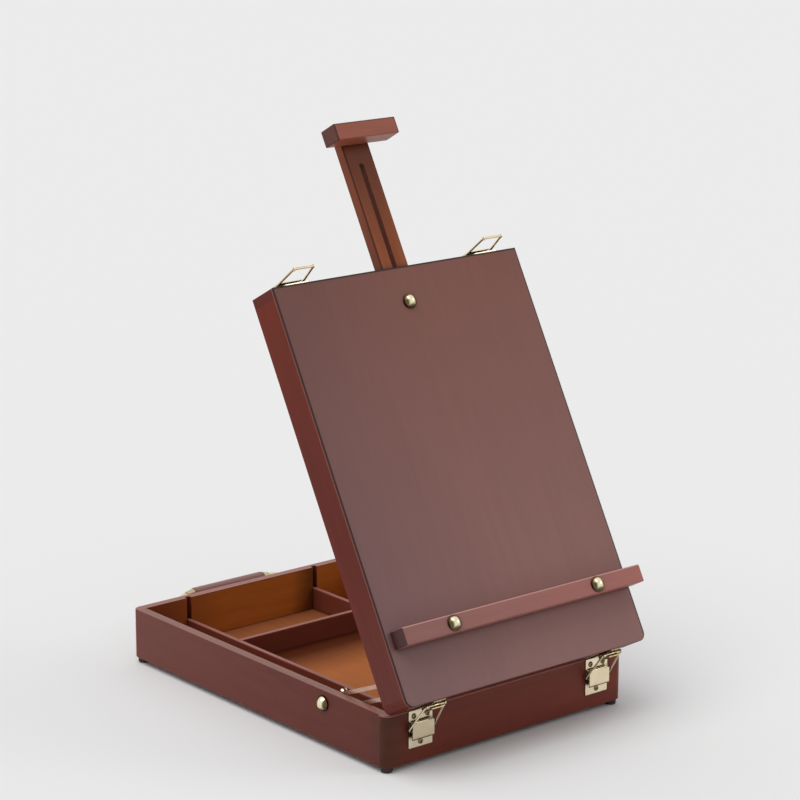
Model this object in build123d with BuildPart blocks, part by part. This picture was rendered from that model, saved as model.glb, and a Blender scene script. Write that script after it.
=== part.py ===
from build123d import *
from math import asin, atan2, cos, degrees, radians, sin
import os

# Pochade box: a shallow wooden sketch box whose lid tilts up as a table easel.
# Millimetres. X to the right, Y to the back, Z up, z = 0 at the underside of the feet.
# The origin is the middle of the box's footprint. The lid stands open at lid_angle.

# ---- driving dimensions ------------------------------------------------------------
box_width = 270.0
box_depth = 366.0
box_height = 46.5
lid_thickness = 34.0
wall = 9.0
corner_radius = 7.0
lid_top_corner_radius = 4.5
edge_radius = 1.0
lid_angle = 61.0
lid_gap = 0.15

foot_height = 5.0
foot_diameter = 10.0
foot_inset = 7.0
foot_edge_radius = 0.9

floor_thickness = 3.0
floor_recess = 1.5
floor_groove_depth = 4.5
floor_tongue = 4.0
board_thickness = 4.0

divider_thickness = 5.0
divider_height = 21.0
divider_dado = 4.0
divider_notch = 1.5
long_divider_from_left = 48.5
cross_divider_from_back = 76.5
short_divider_from_right = 55.5

ledge_shortfall = 2.0
ledge_depth = 18.0
ledge_height = 15.5
ledge_u = 48.0
ledge_shift = 4.0
ledge_bolt_inset = 54.0

mast_width = 30.0
mast_thickness = 10.0
mast_bottom_u = 176.0
mast_slot_width = 5.0
mast_slot_bottom_u = 196.0
mast_slot_top_u = 463.5
block_length = 68.0
block_height = 15.0
block_depth = 20.0
block_u = 480.7
block_shift = 2.0
mast_bolt_below_top = 32.0

shank_radius = 1.9
flange_radius = 7.0
flange_thickness = 0.8
dome_radius = 6.4
dome_height = 4.8
bolt_end = 1.0
washer_radius = 6.0
washer_thickness = 1.0
nut_bore_radius = 2.0
nut_height = 6.0
nut_base_radius = 4.5
nut_top_radius = 3.6
wing_span = 27.0
wing_rise = 9.5
wing_thickness = 2.4
wing_tip_radius = 4.0
wing_root_low = 1.2
wing_root_high = 5.7
wing_overlap = 0.3
wing_lead = 130.0
ledge_wing_turn = 20.0
mast_wing_turn = -35.0
stay_wing_turn = 125.0

stay_width = 14.6
stay_slot_width = 7.6
stay_thickness = 1.2
stay_slot_start = 22.0
stay_slot_end = 104.0
stay_length = 110.5
stay_pivot_u = 18.7
stay_pivot_v = 15.0
stay_bolt_from_front = 83.0
stay_bolt_below_rim = 11.5
stay_tilt_offset = -1.0
rivet_head_radius = 3.6
rivet_head_height = 1.4
rivet_depth = 6.0

latch_inset = 34.5
latch_shift = 2.3
lid_latch_inset = 30.0
lid_latch_shift = -3.5
sheet = 1.0
lever_sheet = 0.8
latch_plate_width = 25.6
plate_corner = 0.8
latch_plate_near = 0.8
latch_plate_far = 33.4
lid_latch_plate_far = 32.6
ear_inner = 10.2
ear_sheet = 0.8
ear_height = 3.55
ear_rim = 0.55
ear_start = 10.1
ear_end = 19.0
lever_width = 23.4
lever_start = 10.8
lever_end = 25.4
lever_pin_distance = 11.4
lever_pin_height = 2.8
lever_pin_radius = 0.7
lever_pin_end = 0.2
lever_edge_radius = 0.3
knuckle_radius = 1.6
knuckle_sink = 0.2
knuckle_width = 19.0
loop_pivot_distance = 17.4
loop_pivot_height = 2.1
wire_radius = 0.9
loop_length = 31.0
loop_base_half = 14.2
loop_tip_half = 10.4
loop_stub_end = 9.9
front_loop_lean = 35.0
lid_loop_lift = 13.0
latch_screw_near = 5.6
latch_screw_spacing = 14.6
latch_screw_far = 29.2
lid_latch_screw_far = 28.6

catch_width = 14.0
catch_start = 0.8
catch_end = 29.0
hook_start = 10.8
hook_end = 24.0
hook_gap = 4.0
hook_sheet = 0.8
catch_screw_distance = 6.0
catch_screw_far = 26.5

screw_head_radius = 2.4
screw_head_height = 1.2
screw_rim_height = 0.4
screw_shank_radius = 1.2
screw_length = 6.5
screw_slot_length = 2.9
screw_slot_width = 0.6
screw_slot_depth = 0.6

handle_half_span = 58.0
handle_reach = 36.0
handle_rod_radius = 3.0
handle_pivot_out = 7.0
handle_z = 35.5
handle_corner = 9.0
handle_stub_radius = 3.3
grip_radius = 6.2
grip_edge_radius = 2.0
ferrule_length = 7.5
ferrule_radius = 5.6
ferrule_end_radius = 3.9
ferrule_clearance = 0.5
bracket_width = 16.0
bracket_height = 24.0
bracket_corner = 2.0
bracket_sheet = 1.2
bracket_tube_radius = 5.2
bracket_tube_length = 6.8
bracket_neck_height = 8.3
bracket_screw_spacing = 17.4

# ---- clearances --------------------------------------------------------------------
sliding_gap = 0.3
seat_gap = 0.2
running_gap = 0.1
fit_gap = 0.05
floor_gap = 0.1

# ---- derived places ----------------------------------------------------------------
under_z = foot_height
rim_z = foot_height + box_height
front_y = -box_depth / 2
back_y = box_depth / 2
side_x = box_width / 2
floor_z = under_z + floor_recess
floor_top_z = floor_z + floor_thickness
inner_x = side_x - wall
inner_y = back_y - wall
long_divider_x = -inner_x + long_divider_from_left
short_divider_x = inner_x - short_divider_from_right
cross_divider_y = inner_y - cross_divider_from_back
latch_xs = [latch_shift - side_x + latch_inset, latch_shift + side_x - latch_inset]
lid_latch_xs = [lid_latch_shift - side_x + lid_latch_inset, lid_latch_shift + side_x - lid_latch_inset]
rail_depth = lid_thickness - board_thickness
board_v = rail_depth

lid_up = Vector(0, cos(radians(lid_angle)), sin(radians(lid_angle)))
lid_out = Vector(0, -sin(radians(lid_angle)), cos(radians(lid_angle)))
hinge = Vector(0, front_y, rim_z + lid_gap)
# local x is along the hinge, local y runs up the lid, local z points out of its face
lid_plane = Plane(origin=hinge, x_dir=(1, 0, 0), z_dir=lid_out)


def on_lid(plane):
    """A plane given in the lid's own frame, placed on the open lid."""
    return Plane(lid_plane.location * plane.location)


def wood_outline(plane, height):
    """A blank of the box's outline with rounded corners, standing on the plane."""
    with BuildSketch(plane) as profile:
        RectangleRounded(box_width, box_depth, corner_radius)
    extrude(profile.sketch, amount=height)


def profile_plane(seat):
    """The plane through a seat's axis: local x is the radius and local y is the height."""
    return Plane(seat.origin, x_dir=seat.x_dir, z_dir=-seat.y_dir)


def cap(radius, base, rise):
    """The arc of a spherical cap, from its rim at the base height up to the axis."""
    ball = (radius**2 + rise**2) / (2 * rise)
    centre = base + rise - ball
    start = degrees(asin((base - centre) / ball))
    CenterArc((0, centre), ball, start, 90 - start)


def dome_bolt(seat, grip):
    """A dome-headed bolt under whose head lies the seat; the shank runs grip deep."""
    with BuildSketch(profile_plane(seat)) as profile:
        with BuildLine():
            Polyline(
                (0, flange_thickness + dome_height),
                (0, -grip),
                (shank_radius, -grip),
                (shank_radius, 0),
                (flange_radius, 0),
                (flange_radius, flange_thickness),
                (dome_radius, flange_thickness),
            )
            cap(dome_radius, flange_thickness, dome_height)
        make_face()
    revolve(profile.sketch, axis=Axis(seat.origin, seat.z_dir))


def wing_nut(seat):
    """A wing nut standing on the seat, with its two wings along the seat's x axis."""
    with BuildSketch(profile_plane(seat)) as profile:
        Polygon(
            (nut_bore_radius, 0),
            (nut_base_radius, 0),
            (nut_top_radius, nut_height),
            (nut_bore_radius, nut_height),
            align=None,
        )
    revolve(profile.sketch, axis=Axis(seat.origin, seat.z_dir))
    web_start = (nut_bore_radius + nut_top_radius) / 2
    tip_x = wing_span / 2 - wing_tip_radius
    tip_y = wing_rise - wing_tip_radius
    web_reach = wing_tip_radius - wing_overlap
    lead_x = tip_x + web_reach * cos(radians(wing_lead))
    lead_y = tip_y + web_reach * sin(radians(wing_lead))
    for side in (-1, 1):
        with BuildSketch(profile_plane(seat)) as profile:
            with Locations((side * tip_x, tip_y)):
                Circle(wing_tip_radius)
            Polygon(
                (side * web_start, wing_root_low),
                (side * tip_x, tip_y - web_reach),
                (side * lead_x, lead_y),
                (side * web_start, wing_root_high),
                align=None,
            )
        extrude(profile.sketch, amount=wing_thickness / 2, both=True)


def washer(seat):
    """A plain washer lying on the seat."""
    with BuildSketch(seat) as profile:
        Circle(washer_radius)
        Circle(nut_bore_radius, mode=Mode.SUBTRACT)
    extrude(profile.sketch, amount=washer_thickness)


def screw(seat):
    """A pan-head screw with a cross slot, its head standing on the seat."""
    with BuildSketch(profile_plane(seat)) as profile:
        with BuildLine():
            Polyline(
                (0, screw_head_height),
                (0, -screw_length),
                (screw_shank_radius, -screw_length + screw_shank_radius),
                (screw_shank_radius, 0),
                (screw_head_radius, 0),
                (screw_head_radius, screw_rim_height),
            )
            cap(screw_head_radius, screw_rim_height, screw_head_height - screw_rim_height)
        make_face()
    revolve(profile.sketch, axis=Axis(seat.origin, seat.z_dir))
    with BuildSketch(seat.offset(screw_head_height)) as profile:
        Rectangle(screw_slot_length, screw_slot_width)
        Rectangle(screw_slot_width, screw_slot_length)
    extrude(profile.sketch, amount=-screw_slot_depth, mode=Mode.SUBTRACT)


def rivet(seat, grip):
    """A low round-headed rivet with its head on the seat."""
    with BuildSketch(profile_plane(seat)) as profile:
        with BuildLine():
            Polyline(
                (0, rivet_head_height),
                (0, -grip),
                (shank_radius, -grip),
                (shank_radius, 0),
                (rivet_head_radius, 0),
            )
            cap(rivet_head_radius, 0, rivet_head_height)
        make_face()
    revolve(profile.sketch, axis=Axis(seat.origin, seat.z_dir))


def drill(seat, radius, depth):
    """A round hole from the seat down into the piece."""
    with BuildSketch(seat) as profile:
        Circle(radius)
    extrude(profile.sketch, amount=-depth, mode=Mode.SUBTRACT)


def finish(name, label):
    """Label a finished piece and write it to its own file."""
    name.part.label = label
    export_step(name.part, "parts/" + label + ".step")


os.makedirs("parts", exist_ok=True)

# ---- seats of the fasteners on the box ---------------------------------------------
stay_bolt_y = front_y + stay_bolt_from_front
stay_bolt_z = rim_z - stay_bolt_below_rim
stay_outer_x = inner_x - seat_gap
stay_inner_x = stay_outer_x - stay_thickness
washer_x = stay_inner_x - seat_gap
stay_nut_x = washer_x - washer_thickness - seat_gap


def side_seat(side, x, y, z):
    """A seat on a plane of constant x, facing outward on the given side of the box."""
    return Plane(origin=(side * x, y, z), x_dir=(0, 1, 0), z_dir=(side, 0, 0))


def inward_seat(side, x, y, z):
    """A seat on a plane of constant x, facing the middle of the box, turned for its nut."""
    turn = radians(stay_wing_turn)
    return Plane(origin=(side * x, y, z), x_dir=(0, cos(turn), sin(turn)), z_dir=(-side, 0, 0))


# A latch or catch is laid out on a seam plane: local x is along the seam, local y runs
# away from the seam over the face, and local z points out of the face.
def front_seam(x):
    return Plane(origin=(x, front_y, rim_z), x_dir=(-1, 0, 0), z_dir=(0, -1, 0))


def back_seam(x):
    return Plane(origin=(x, back_y, rim_z), x_dir=(1, 0, 0), z_dir=(0, 1, 0))


def lid_front_seam(x):
    return on_lid(Plane(origin=(x, 0, 0), x_dir=(1, 0, 0), z_dir=(0, -1, 0)))


def lid_back_seam(x):
    return on_lid(Plane(origin=(x, box_depth, 0), x_dir=(-1, 0, 0), z_dir=(0, 1, 0)))


def shifted(plane, x, y, z):
    """A plane moved by local amounts, with its directions kept."""
    return Plane(origin=plane.from_local_coords(Vector(x, y, z)), x_dir=plane.x_dir, z_dir=plane.z_dir)


def latch_screw_seats(seam, far):
    """The three seats of a latch's screws, on the face under the plate's top."""
    places = (
        (-latch_screw_spacing / 2, latch_screw_near),
        (latch_screw_spacing / 2, latch_screw_near),
        (0, far),
    )
    return [shifted(seam, x, y, sheet) for x, y in places]


def catch_screw_seats(seam):
    """The two seats of a catch's screws."""
    return [shifted(seam, 0, y, sheet) for y in (catch_screw_distance, catch_screw_far)]


front_seams = [front_seam(x) for x in latch_xs]
lid_front_seams = [lid_front_seam(x) for x in latch_xs]
back_seams = [back_seam(x) for x in lid_latch_xs]
lid_back_seams = [lid_back_seam(x) for x in lid_latch_xs]
front_latch_screws_at = []
for seam in front_seams:
    front_latch_screws_at += latch_screw_seats(seam, latch_screw_far)
lid_latch_screws_at = []
for seam in lid_back_seams:
    lid_latch_screws_at += latch_screw_seats(seam, lid_latch_screw_far)
back_catch_screws_at = []
for seam in back_seams:
    back_catch_screws_at += catch_screw_seats(seam)
lid_catch_screws_at = []
for seam in lid_front_seams:
    lid_catch_screws_at += catch_screw_seats(seam)

handle_screws_at = []
bracket_x = handle_half_span - handle_rod_radius - seat_gap - bracket_tube_length / 2
grip_length = 2 * (handle_half_span - handle_corner - ferrule_length - ferrule_clearance)
for side in (-1, 1):
    for half in (-1, 1):
        place = (side * bracket_x, back_y + bracket_sheet, handle_z + half * bracket_screw_spacing / 2)
        handle_screws_at.append(Plane(origin=place, x_dir=(1, 0, 0), z_dir=(0, 1, 0)))


def soften_blank():
    """Round the long outer edges at the top and the bottom of the blank in hand."""
    blank = edges().group_by(Axis.Z)
    fillet(blank[0] + blank[-1], edge_radius)


def cut_floor_groove():
    """The groove that holds the floor, cut all round the inside of the blank."""
    with Locations((0, 0, floor_z + floor_thickness / 2)):
        Box(
            2 * (inner_x + floor_groove_depth),
            2 * (inner_y + floor_groove_depth),
            floor_thickness + 2 * fit_gap,
            mode=Mode.SUBTRACT,
        )


def cut_dado(x, y, along_x, along_y):
    """An upright groove open at the rim, for the end of a divider."""
    with Locations((x, y, (floor_top_z + rim_z) / 2)):
        Box(along_x, along_y, rim_z - floor_top_z + fit_gap, mode=Mode.SUBTRACT)


dado_width = divider_thickness + sliding_gap
dado_blind = 2 * divider_dado

# ---- box ---------------------------------------------------------------------------
for label, sign in (("front_wall", -1), ("back_wall", 1)):
    with BuildPart() as end_wall:
        wood_outline(Plane.XY.offset(under_z), box_height)
        soften_blank()
        with Locations((0, sign * (back_y - wall / 2), under_z + box_height / 2)):
            Box(box_width, wall, box_height, mode=Mode.INTERSECT)
        cut_floor_groove()
        cut_dado(long_divider_x, sign * inner_y, dado_width, dado_blind)
        if sign > 0:
            cut_dado(short_divider_x, inner_y, dado_width, dado_blind)
        seats = front_latch_screws_at if sign < 0 else back_catch_screws_at + handle_screws_at
        for seat in seats:
            drill(seat, screw_shank_radius + fit_gap, screw_length + fit_gap)
    finish(end_wall, label)

for label, sign in (("left_wall", -1), ("right_wall", 1)):
    with BuildPart() as side_wall:
        wood_outline(Plane.XY.offset(under_z), box_height)
        soften_blank()
        with Locations((sign * (side_x - wall / 2), 0, under_z + box_height / 2)):
            Box(wall, 2 * inner_y, box_height, mode=Mode.INTERSECT)
        cut_floor_groove()
        if sign > 0:
            cut_dado(inner_x, cross_divider_y, dado_blind, dado_width)
        drill(side_seat(sign, side_x, stay_bolt_y, stay_bolt_z), shank_radius + fit_gap, wall)
    finish(side_wall, label)

with BuildPart() as bottom_panel:
    with Locations((0, 0, floor_z + floor_thickness / 2)):
        Box(2 * (inner_x + floor_tongue), 2 * (inner_y + floor_tongue), floor_thickness)
finish(bottom_panel, "bottom_panel")

with BuildPart() as feet:
    with GridLocations(box_width - 2 * foot_inset, box_depth - 2 * foot_inset, 2, 2):
        Cylinder(foot_diameter / 2, foot_height, align=(Align.CENTER, Align.CENTER, Align.MIN))
    fillet(feet.edges().group_by(Axis.Z)[0], foot_edge_radius)
finish(feet, "feet")

# ---- dividers ----------------------------------------------------------------------
divider_z = floor_top_z + floor_gap
divider_reach = divider_dado - seat_gap
divider_mid_z = divider_z + divider_height / 2
long_half = inner_y + divider_reach
cross_start = long_divider_x + divider_thickness / 2 - divider_notch + seat_gap
cross_end = inner_x + divider_reach
short_start = cross_divider_y + divider_thickness / 2 - divider_notch + seat_gap
short_end = inner_y + divider_reach


def soften_divider(axis):
    """Ease the long upper edges of the divider in hand."""
    fillet(edges().group_by(Axis.Z)[-1].filter_by(axis), edge_radius)


with BuildPart() as long_divider:
    with Locations((long_divider_x, 0, divider_mid_z)):
        Box(divider_thickness, 2 * long_half, divider_height)
    soften_divider(Axis.Y)
    with Locations((long_divider_x + divider_thickness / 2, cross_divider_y, divider_mid_z)):
        Box(2 * divider_notch, dado_width, divider_height, mode=Mode.SUBTRACT)
finish(long_divider, "long_divider")

with BuildPart() as cross_divider:
    with Locations(((cross_start + cross_end) / 2, cross_divider_y, divider_mid_z)):
        Box(cross_end - cross_start, divider_thickness, divider_height)
    soften_divider(Axis.X)
    with Locations((short_divider_x, cross_divider_y + divider_thickness / 2, divider_mid_z)):
        Box(dado_width, 2 * divider_notch, divider_height, mode=Mode.SUBTRACT)
finish(cross_divider, "cross_divider")

with BuildPart() as short_divider:
    with Locations((short_divider_x, (short_start + short_end) / 2, divider_mid_z)):
        Box(divider_thickness, short_end - short_start, divider_height)
    soften_divider(Axis.Y)
finish(short_divider, "short_divider")

# ---- lid frame and board -----------------------------------------------------------
board_mid_u = box_depth / 2


def lid_outline():
    """The lid's outline, with tighter corners at its top than at the seam's end."""
    with Locations((0, board_mid_u)):
        outline = Rectangle(box_width, box_depth)
    corners = outline.vertices().sort_by(Axis(hinge, lid_up))
    fillet(corners[:2], corner_radius)
    fillet(corners[2:], lid_top_corner_radius)


def rail_blank():
    """The lid frame's full blank, with its seam edge softened."""
    with BuildSketch(lid_plane) as profile:
        lid_outline()
    extrude(profile.sketch, amount=rail_depth)
    fillet(edges().group_by(Axis(hinge, lid_out))[0], edge_radius)


def lid_seat(x, u, v):
    """A seat on the lid facing out of the board."""
    return on_lid(Plane(origin=(x, u, v), x_dir=(1, 0, 0), z_dir=(0, 0, 1)))


def lid_seat_inside(x, u, v, turn=0.0):
    """A seat on the lid facing into its hollow, turned by the given angle for its nut."""
    across = (cos(radians(turn)), sin(radians(turn)), 0)
    return on_lid(Plane(origin=(x, u, v), x_dir=across, z_dir=(0, 0, -1)))


for label, sign in (("lid_bottom_rail", -1), ("lid_top_rail", 1)):
    with BuildPart(lid_plane) as end_rail:
        rail_blank()
        with Locations((0, board_mid_u + sign * (back_y - wall / 2), rail_depth / 2)):
            Box(box_width, wall, rail_depth, mode=Mode.INTERSECT)
        if sign > 0:
            notch_depth = mast_thickness + 2 * sliding_gap
            with Locations((0, box_depth - wall / 2, rail_depth - notch_depth / 2)):
                Box(mast_width + 2 * sliding_gap, wall, notch_depth, mode=Mode.SUBTRACT)
        seats = lid_catch_screws_at if sign < 0 else lid_latch_screws_at
        for seat in seats:
            drill(seat, screw_shank_radius + fit_gap, screw_length + fit_gap)
    finish(end_rail, label)

for label, sign in (("lid_left_rail", -1), ("lid_right_rail", 1)):
    with BuildPart(lid_plane) as side_rail:
        rail_blank()
        with Locations((sign * (side_x - wall / 2), board_mid_u, rail_depth / 2)):
            Box(wall, 2 * inner_y, rail_depth, mode=Mode.INTERSECT)
        rivet_mouth = on_lid(
            Plane(
                origin=(sign * inner_x, stay_pivot_u, stay_pivot_v),
                x_dir=(0, 1, 0),
                z_dir=(-sign, 0, 0),
            )
        )
        drill(rivet_mouth, shank_radius + fit_gap, rivet_depth)
    finish(side_rail, label)

ledge_mid_u = ledge_u + ledge_height / 2
ledge_length = box_width - ledge_shortfall
ledge_bolt_xs = [ledge_shift - side_x + ledge_bolt_inset, ledge_shift + side_x - ledge_bolt_inset]
mast_bolt_u = box_depth - mast_bolt_below_top

with BuildPart(lid_plane) as lid_board:
    with BuildSketch(on_lid(Plane.XY.offset(board_v))) as profile:
        lid_outline()
    extrude(profile.sketch, amount=board_thickness)
    fillet(edges().group_by(Axis(hinge, lid_out))[-1], edge_radius)
    for bolt_x, bolt_u in [(x, ledge_mid_u) for x in ledge_bolt_xs] + [(0, mast_bolt_u)]:
        drill(lid_seat(bolt_x, bolt_u, lid_thickness), shank_radius + fit_gap, board_thickness)
finish(lid_board, "lid_board")

# ---- ledge -------------------------------------------------------------------------
with BuildPart(lid_plane) as ledge:
    with Locations((ledge_shift, ledge_mid_u, lid_thickness + ledge_depth / 2)):
        Box(ledge_length, ledge_height, ledge_depth)
    fillet(ledge.edges(), edge_radius)
    for bolt_x in ledge_bolt_xs:
        drill(lid_seat(bolt_x, ledge_mid_u, lid_thickness + ledge_depth), shank_radius + fit_gap, ledge_depth)
finish(ledge, "ledge")

nut_stack = washer_thickness + nut_height + 3 * seat_gap + bolt_end
with BuildPart() as ledge_bolts:
    for bolt_x in ledge_bolt_xs:
        dome_bolt(
            lid_seat(bolt_x, ledge_mid_u, lid_thickness + ledge_depth),
            ledge_depth + board_thickness + nut_stack,
        )
finish(ledge_bolts, "ledge_bolts")

# ---- mast --------------------------------------------------------------------------
mast_front_v = board_v - sliding_gap
mast_back_v = mast_front_v - mast_thickness
mast_top_u = block_u + block_height - edge_radius
block_mid_u = block_u + block_height / 2
block_screw_xs = [-mast_width / 4, mast_width / 4]

with BuildPart(lid_plane) as mast_bar:
    with Locations((0, (mast_bottom_u + mast_top_u) / 2, mast_front_v - mast_thickness / 2)):
        Box(mast_width, mast_top_u - mast_bottom_u, mast_thickness)
    fillet(mast_bar.edges().filter_by(Axis(hinge, lid_up)), edge_radius)
    slot_mid = (mast_slot_bottom_u + mast_slot_top_u) / 2
    with BuildSketch(on_lid(Plane.XY.offset(mast_front_v))):
        with Locations((0, slot_mid)):
            SlotOverall(mast_slot_top_u - mast_slot_bottom_u, mast_slot_width, rotation=90)
    extrude(amount=-mast_thickness, mode=Mode.SUBTRACT)
    for x in block_screw_xs:
        drill(lid_seat(x, block_mid_u, mast_front_v), screw_shank_radius + fit_gap, mast_thickness)
finish(mast_bar, "mast_bar")

block_screw_length = mast_thickness + block_depth / 2

with BuildPart(lid_plane) as mast_block:
    with Locations((block_shift, block_mid_u, mast_front_v + block_depth / 2)):
        Box(block_length, block_height, block_depth)
    fillet(mast_block.edges(), edge_radius)
    for x in block_screw_xs:
        mouth = lid_seat_inside(x, block_mid_u, mast_front_v)
        drill(mouth, screw_shank_radius + fit_gap, block_depth / 2 + fit_gap)
finish(mast_block, "mast_block")

with BuildPart() as mast_screws:
    for x in block_screw_xs:
        seat = lid_seat_inside(x, block_mid_u, mast_back_v)
        with BuildSketch(seat):
            Circle(screw_head_radius)
        extrude(amount=screw_head_height)
        with BuildSketch(seat):
            Circle(screw_shank_radius)
        extrude(amount=-block_screw_length)
finish(mast_screws, "mast_screws")

with BuildPart() as mast_bolt:
    dome_bolt(
        lid_seat(0, mast_bolt_u, lid_thickness),
        lid_thickness - mast_back_v + nut_stack,
    )
finish(mast_bolt, "mast_bolt")

# ---- washers and wing nuts inside the lid ------------------------------------------
ledge_washer_v = board_v - seat_gap
mast_washer_v = mast_back_v - seat_gap
ledge_nut_v = ledge_washer_v - washer_thickness - seat_gap
mast_nut_v = mast_washer_v - washer_thickness - seat_gap

with BuildPart() as lid_washers:
    for bolt_x in ledge_bolt_xs:
        washer(lid_seat_inside(bolt_x, ledge_mid_u, ledge_washer_v))
    washer(lid_seat_inside(0, mast_bolt_u, mast_washer_v))
finish(lid_washers, "lid_washers")

for label, bolt_x in (("left_ledge_nut", ledge_bolt_xs[0]), ("right_ledge_nut", ledge_bolt_xs[1])):
    with BuildPart() as ledge_nut:
        wing_nut(lid_seat_inside(bolt_x, ledge_mid_u, ledge_nut_v, ledge_wing_turn))
    finish(ledge_nut, label)

with BuildPart() as mast_nut:
    wing_nut(lid_seat_inside(0, mast_bolt_u, mast_nut_v, mast_wing_turn))
finish(mast_nut, "mast_nut")

# ---- side stays --------------------------------------------------------------------
stay_pivot = lid_plane.from_local_coords(Vector(0, stay_pivot_u, stay_pivot_v))
stay_to_bolt = atan2(stay_bolt_z - stay_pivot.Z, stay_bolt_y - stay_pivot.Y)
stay_direction = stay_to_bolt + radians(stay_tilt_offset)

for name, side in (("left", -1), ("right", 1)):
    stay_x = -stay_outer_x if side < 0 else stay_inner_x
    stay_plane = Plane(
        origin=(stay_x, stay_pivot.Y, stay_pivot.Z),
        x_dir=(0, cos(stay_direction), sin(stay_direction)),
        z_dir=(1, 0, 0),
    )
    with BuildPart() as stay:
        with BuildSketch(stay_plane):
            with Locations((stay_length / 2, 0)):
                SlotCenterToCenter(stay_length, stay_width)
            with Locations(((stay_slot_start + stay_slot_end) / 2, 0)):
                SlotCenterToCenter(stay_slot_end - stay_slot_start, stay_slot_width, mode=Mode.SUBTRACT)
            Circle(nut_bore_radius, mode=Mode.SUBTRACT)
        extrude(amount=stay_thickness)
    finish(stay, name + "_stay")

    with BuildPart() as stay_bolt:
        dome_bolt(
            side_seat(side, side_x, stay_bolt_y, stay_bolt_z),
            side_x - stay_nut_x + nut_height + bolt_end,
        )
    finish(stay_bolt, name + "_stay_bolt")

    with BuildPart() as stay_nut:
        wing_nut(inward_seat(side, stay_nut_x, stay_bolt_y, stay_bolt_z))
    finish(stay_nut, name + "_stay_nut")

    with BuildPart() as stay_rivet:
        rivet_seat = inward_seat(side, stay_inner_x - fit_gap, stay_pivot.Y, stay_pivot.Z)
        rivet(rivet_seat, inner_x - stay_inner_x + rivet_depth)
    finish(stay_rivet, name + "_stay_rivet")

with BuildPart() as stay_washers:
    for side in (-1, 1):
        washer(inward_seat(side, washer_x, stay_bolt_y, stay_bolt_z))
finish(stay_washers, "stay_washers")


# ---- latches -----------------------------------------------------------------------
def latch_base(seam, plate_far, screw_far):
    """The latch's screwed plate with two folded ears for the lever and the loop."""
    with BuildSketch(seam) as profile:
        with Locations((0, (latch_plate_near + plate_far) / 2)):
            RectangleRounded(latch_plate_width, plate_far - latch_plate_near, plate_corner)
    extrude(profile.sketch, amount=sheet)
    for side in (-1, 1):
        ear_x = ear_inner if side > 0 else -ear_inner - ear_sheet
        ear_plane = Plane(
            origin=seam.from_local_coords(Vector(ear_x, 0, 0)),
            x_dir=seam.y_dir,
            z_dir=seam.x_dir,
        )
        nose = lever_pin_radius + ear_rim
        with BuildSketch(ear_plane) as profile:
            with Locations((lever_pin_distance, lever_pin_height)):
                Circle(nose)
            Polygon(
                (ear_start, sheet / 2),
                (ear_start, lever_pin_height),
                (lever_pin_distance, lever_pin_height),
                (lever_pin_distance + nose, ear_height),
                (ear_end, ear_height),
                (ear_end, sheet / 2),
                align=None,
            )
            with Locations((lever_pin_distance, lever_pin_height)):
                Circle(lever_pin_radius + fit_gap, mode=Mode.SUBTRACT)
            with Locations((loop_pivot_distance, loop_pivot_height)):
                Circle(wire_radius + running_gap, mode=Mode.SUBTRACT)
        extrude(profile.sketch, amount=ear_sheet)
    for seat in latch_screw_seats(seam, screw_far):
        drill(seat, screw_shank_radius + fit_gap, sheet)


def latch_pin(seam):
    """The pin across the ears, on which the lever turns."""
    pin_plane = Plane(
        origin=seam.from_local_coords(Vector(0, lever_pin_distance, lever_pin_height)),
        z_dir=seam.x_dir,
    )
    with BuildSketch(pin_plane) as profile:
        Circle(lever_pin_radius)
    extrude(profile.sketch, amount=ear_inner + ear_sheet + lever_pin_end, both=True)


def latch_lever(seam):
    """The latch's lever: a cover plate hanging on a rolled knuckle."""
    section = Plane(origin=seam.origin, x_dir=seam.y_dir, z_dir=seam.x_dir)
    plate_bottom = lever_pin_height + knuckle_radius - knuckle_sink
    plate_mid = (lever_start + lever_end) / 2
    with BuildSketch(section) as profile:
        with Locations((plate_mid, plate_bottom + lever_sheet / 2)):
            RectangleRounded(lever_end - lever_start, lever_sheet, lever_edge_radius)
    extrude(profile.sketch, amount=lever_width / 2, both=True)
    with BuildSketch(section) as profile:
        with Locations((lever_pin_distance, lever_pin_height)):
            Circle(knuckle_radius)
        Polygon(
            (lever_pin_distance, lever_pin_height),
            (lever_pin_distance + knuckle_radius, lever_pin_height),
            (lever_pin_distance + knuckle_radius, plate_bottom + lever_sheet / 2),
            (lever_pin_distance, plate_bottom + lever_sheet / 2),
            align=None,
        )
    extrude(profile.sketch, amount=knuckle_width / 2, both=True)
    with BuildSketch(section) as profile:
        with Locations((lever_pin_distance, lever_pin_height)):
            Circle(lever_pin_radius + running_gap)
    extrude(profile.sketch, amount=knuckle_width / 2, both=True, mode=Mode.SUBTRACT)


def latch_loop(seam, lean):
    """The wire loop; lean is its angle from the seam direction out of the face."""
    pivot = seam.from_local_coords(Vector(0, loop_pivot_distance, loop_pivot_height))
    along = seam.y_dir * -cos(radians(lean)) + seam.z_dir * sin(radians(lean))
    wire_plane = Plane(origin=pivot, x_dir=seam.x_dir, z_dir=seam.x_dir.cross(along))
    places = (
        (-loop_stub_end, 0),
        (-loop_base_half, 0),
        (-loop_tip_half, loop_length),
        (loop_tip_half, loop_length),
        (loop_base_half, 0),
        (loop_stub_end, 0),
    )
    with BuildLine(wire_plane) as wire:
        FilletPolyline(*places, radius=2 * wire_radius)
    with BuildSketch(Plane(origin=wire.line @ 0, z_dir=wire.line % 0)) as profile:
        Circle(wire_radius)
    sweep(profile.sketch, path=wire.line)


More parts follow.
